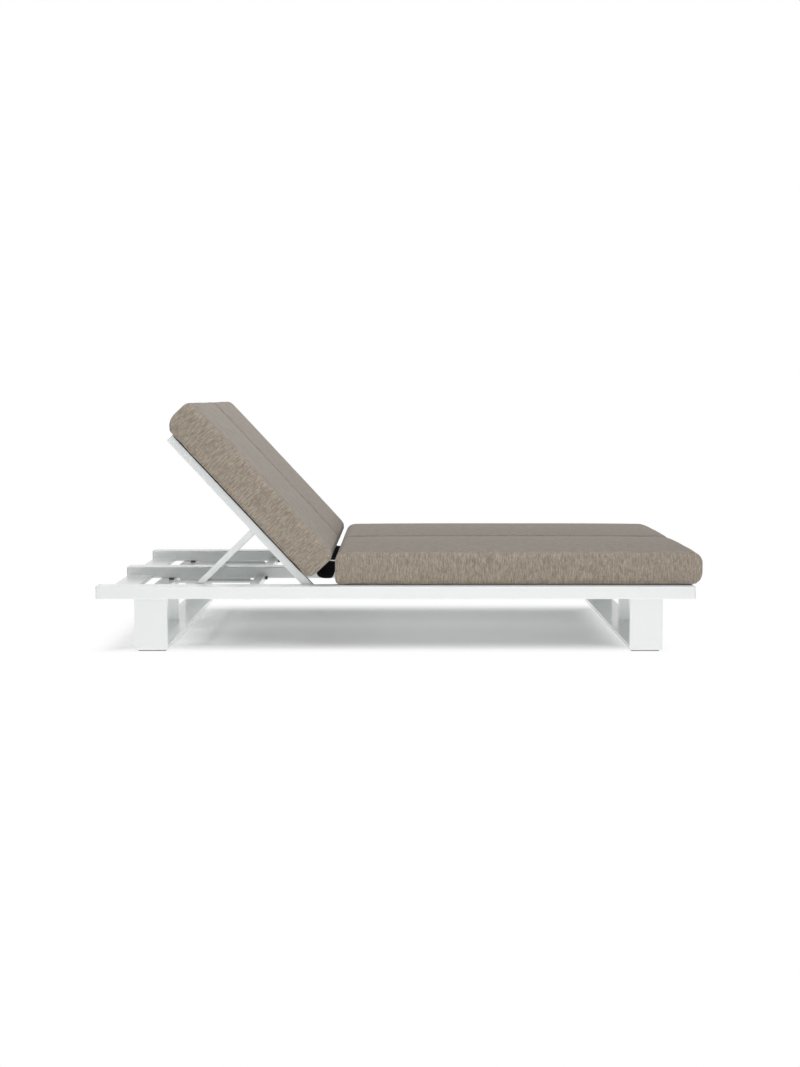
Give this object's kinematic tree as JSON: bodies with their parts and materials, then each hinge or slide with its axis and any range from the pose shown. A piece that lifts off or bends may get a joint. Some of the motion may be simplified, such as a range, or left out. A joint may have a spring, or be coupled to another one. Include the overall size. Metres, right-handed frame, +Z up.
{
  "type": "double chaise lounger",
  "caption": "Double outdoor lounger: side-by-side cushioned places on a low tube frame, with hinged backrests held up by bails that stand in toothed racks.",
  "frame": {"origin": "on the floor, below the centre of the whole lounger's box", "axes": "+Z up; +X along the length towards the foot end; +Y across the width towards the left place, as a person lying on it has it"},
  "size_m": [2.033, 1.4, 0.8301],
  "materials": {
    "frame_paint": "satin white powder coat",
    "taupe_fabric": "heather taupe outdoor weave",
    "black_cloth": "black mesh base cloth",
    "black_rubber": "matt",
    "glide_plastic": "moulded",
    "pin_steel": "turned",
    "bush_plastic": "moulded",
    "cap_plastic": "moulded white"
  },
  "bodies": {
    "frame": {"foot_floor_bar": "frame_paint", "foot_glides": "glide_plastic", "foot_left_leg": "frame_paint", "foot_middle_post": "frame_paint", "foot_right_leg": "frame_paint", "head_floor_bar": "frame_paint", "head_left_leg": "frame_paint", "head_middle_post": "frame_paint", "head_right_leg": "frame_paint", "hinge_pins": "pin_steel", "left_front_crossbar": "frame_paint", "left_head_slat": "frame_paint", "left_hinge_flap": "black_cloth", "left_inner_rack": "frame_paint", "left_outer_rack": "frame_paint", "left_rack_carriers": "frame_paint", "left_rail": "frame_paint", "left_rear_crossbar": "frame_paint", "left_seat_base": "black_cloth", "left_seat_cushion": "taupe_fabric", "left_seat_slats": "frame_paint", "middle_rail": "frame_paint", "rail_end_caps": "cap_plastic", "right_front_crossbar": "frame_paint", "right_head_slat": "frame_paint", "right_hinge_flap": "black_cloth", "right_inner_rack": "frame_paint", "right_outer_rack": "frame_paint", "right_rack_carriers": "frame_paint", "right_rail": "frame_paint", "right_rear_crossbar": "frame_paint", "right_seat_base": "black_cloth", "right_seat_cushion": "taupe_fabric", "right_seat_slats": "frame_paint", "rubber_stops": "black_rubber"},
    "right_backrest": {"right_back_base": "black_cloth", "right_back_bottom_rail": "frame_paint", "right_back_cushion": "taupe_fabric", "right_back_inner_tube": "frame_paint", "right_back_outer_tube": "frame_paint", "right_back_slats": "frame_paint", "right_back_top_rail": "frame_paint", "right_hinge_bushes": "bush_plastic", "right_prop_pins": "pin_steel"},
    "left_backrest": {"left_back_base": "black_cloth", "left_back_bottom_rail": "frame_paint", "left_back_cushion": "taupe_fabric", "left_back_inner_tube": "frame_paint", "left_back_outer_tube": "frame_paint", "left_back_slats": "frame_paint", "left_back_top_rail": "frame_paint", "left_hinge_bushes": "bush_plastic", "left_prop_pins": "pin_steel"},
    "right_prop": {"right_prop_bar": "frame_paint", "right_prop_inner_arm": "frame_paint", "right_prop_outer_arm": "frame_paint"},
    "left_prop": {"left_prop_bar": "frame_paint", "left_prop_inner_arm": "frame_paint", "left_prop_outer_arm": "frame_paint"}
  },
  "joints": [
    {"name": "right_back_hinge", "type": "hinge", "parent": "frame", "child": "right_backrest", "pos_m": [-0.3045, -0.33, 0.206], "axis": [0, 1, 0], "range_deg": [-47.1, 10.4], "deforming": ["right_hinge_flap"]},
    {"name": "right_prop_hinge", "type": "hinge", "parent": "right_backrest", "child": "right_prop", "pos_m": [-0.494, -0.33, 0.40258], "axis": [0, -1, 0], "range_deg": [-91.5, 20.3]},
    {"name": "left_back_hinge", "type": "hinge", "parent": "frame", "child": "left_backrest", "pos_m": [-0.3045, 0.33, 0.206], "axis": [0, 1, 0], "range_deg": [-47.1, 10.4], "deforming": ["left_hinge_flap"]},
    {"name": "left_prop_hinge", "type": "hinge", "parent": "left_backrest", "child": "left_prop", "pos_m": [-0.494, 0.33, 0.40258], "axis": [0, -1, 0], "range_deg": [-91.5, 20.3]}
  ],
  "couplings": [
    {"joint": "right_prop_hinge", "follows": "right_back_hinge", "ratio": 1.94},
    {"joint": "left_prop_hinge", "follows": "left_back_hinge", "ratio": 1.94}
  ]
}
